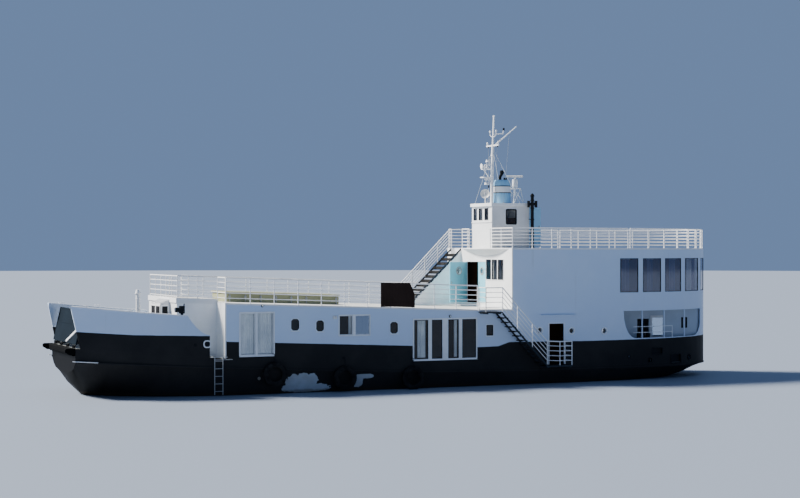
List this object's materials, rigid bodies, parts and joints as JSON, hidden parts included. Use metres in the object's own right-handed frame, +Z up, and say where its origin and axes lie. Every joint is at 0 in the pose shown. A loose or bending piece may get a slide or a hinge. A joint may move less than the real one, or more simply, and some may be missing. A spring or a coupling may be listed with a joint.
{
  "type": "small car ferry",
  "caption": "Small car ferry with a raked open bow, hinged bow gate, closed-in car deck, rounded saloon aft, wheelhouse with funnel and mast, opening doors, turning screw, rudder and scanner.",
  "frame": {"origin": "on the centreline at the waterline, amidships", "axes": "+X to the bow, +Y to port, +Z up"},
  "size_m": [34.55, 8.2753, 15.63],
  "materials": {
    "white_paint": "satin",
    "black_paint": "satin",
    "grey_paint": "satin",
    "slate_paint": "matt",
    "blue_paint": "satin",
    "pale_blue_paint": "satin",
    "deck_paint": "matt",
    "brown_paint": "matt",
    "olive_cover": "matt",
    "fender_rubber": "matt",
    "screw_bronze": "polished",
    "white_plastic": "gloss"
  },
  "bodies": {
    "ship": {"hull": "black_paint", "bow_nose": "black_paint", "bulwark_port": "white_paint", "bulwark_starboard": "white_paint", "front_house": "white_paint", "front_house_roof": "deck_paint", "front_deck": "deck_paint", "side_port_forward": "white_paint", "side_starboard_forward": "white_paint", "side_port_aft": "white_paint", "side_starboard_aft": "white_paint", "recess_bulkhead": "grey_paint", "bitts_port": "black_paint", "bitts_starboard": "black_paint", "aft_floor": "deck_paint", "roof_deck": "deck_paint", "upper_front": "white_paint", "corbel": "white_paint", "wheelhouse_front": "white_paint", "wheelhouse_port": "grey_paint", "wheelhouse_starboard": "grey_paint", "wheelhouse_aft": "white_paint", "wheelhouse_roof": "white_paint", "funnel": "blue_paint", "mast": "white_paint", "dish": "white_plastic", "radar_stand": "white_paint", "stovepipe": "black_paint", "rail_roof_port": "white_paint", "rail_roof_starboard": "white_paint", "rail_roof_inner": "white_paint", "rail_roof_stern": "white_paint", "rail_deck_port": "white_paint", "rail_deck_starboard": "white_paint", "rail_front_house": "white_paint", "stairs_starboard": "white_paint", "stair_panel": "white_paint", "stairs_port": "white_paint", "ladder": "grey_paint", "hatch": "olive_cover", "screen": "brown_paint", "foredeck_vent": "white_paint", "hood": "grey_paint", "bulwark_lamp": "black_paint", "tyre_port_1": "fender_rubber", "tyre_starboard_1": "fender_rubber", "tyre_port_2": "fender_rubber", "tyre_starboard_2": "fender_rubber", "tyre_port_3": "fender_rubber", "tyre_starboard_3": "fender_rubber"},
    "gate": {"bow_gate": "slate_paint", "gate_stay": "white_paint"},
    "front_left_leaf": {"door_front_left": "pale_blue_paint"},
    "front_right_leaf": {"door_front_right": "pale_blue_paint"},
    "side_leaf": {"door_side": "grey_paint"},
    "wheelhouse_leaf": {"door_wheelhouse": "blue_paint"},
    "rudder_blade": {"rudder": "black_paint"},
    "screw": {"propeller": "screw_bronze"},
    "scanner": {"radar_scanner": "white_plastic"}
  },
  "joints": [
    {"name": "gate_fold", "type": "hinge", "parent": "ship", "child": "gate", "pos_m": [16.9, 0, 2.345], "axis": [0, 1, 0], "range_deg": [0, 100]},
    {"name": "front_left_swing", "type": "hinge", "parent": "ship", "child": "front_left_leaf", "pos_m": [-4.01, -1.35, 4.9], "axis": [0, 0, -1], "range_deg": [-68, 32]},
    {"name": "front_right_swing", "type": "hinge", "parent": "ship", "child": "front_right_leaf", "pos_m": [-4.01, 0.795, 4.9], "axis": [0, 0, 1], "range_deg": [0, 100]},
    {"name": "side_door_swing", "type": "hinge", "parent": "ship", "child": "side_leaf", "pos_m": [-6.085, 3.51, 1.9], "axis": [0, 0, 1], "range_deg": [-90, 0]},
    {"name": "wheelhouse_door_swing", "type": "hinge", "parent": "ship", "child": "wheelhouse_leaf", "pos_m": [-6.38, 1.028, 7.7], "axis": [0, 0, -1], "range_deg": [-90, 0]},
    {"name": "rudder_turn", "type": "hinge", "parent": "ship", "child": "rudder_blade", "pos_m": [-14.55, 0, -1.3], "axis": [0, 0, 1], "range_deg": [-35, 35]},
    {"name": "screw_turn", "type": "hinge", "parent": "ship", "child": "screw", "pos_m": [-13.25, 0, -1.3], "axis": [1, 0, 0], "continuous": true},
    {"name": "scanner_turn", "type": "hinge", "parent": "ship", "child": "scanner", "pos_m": [-6.12, 0, 10.2], "axis": [0, 0, 1], "continuous": true}
  ]
}
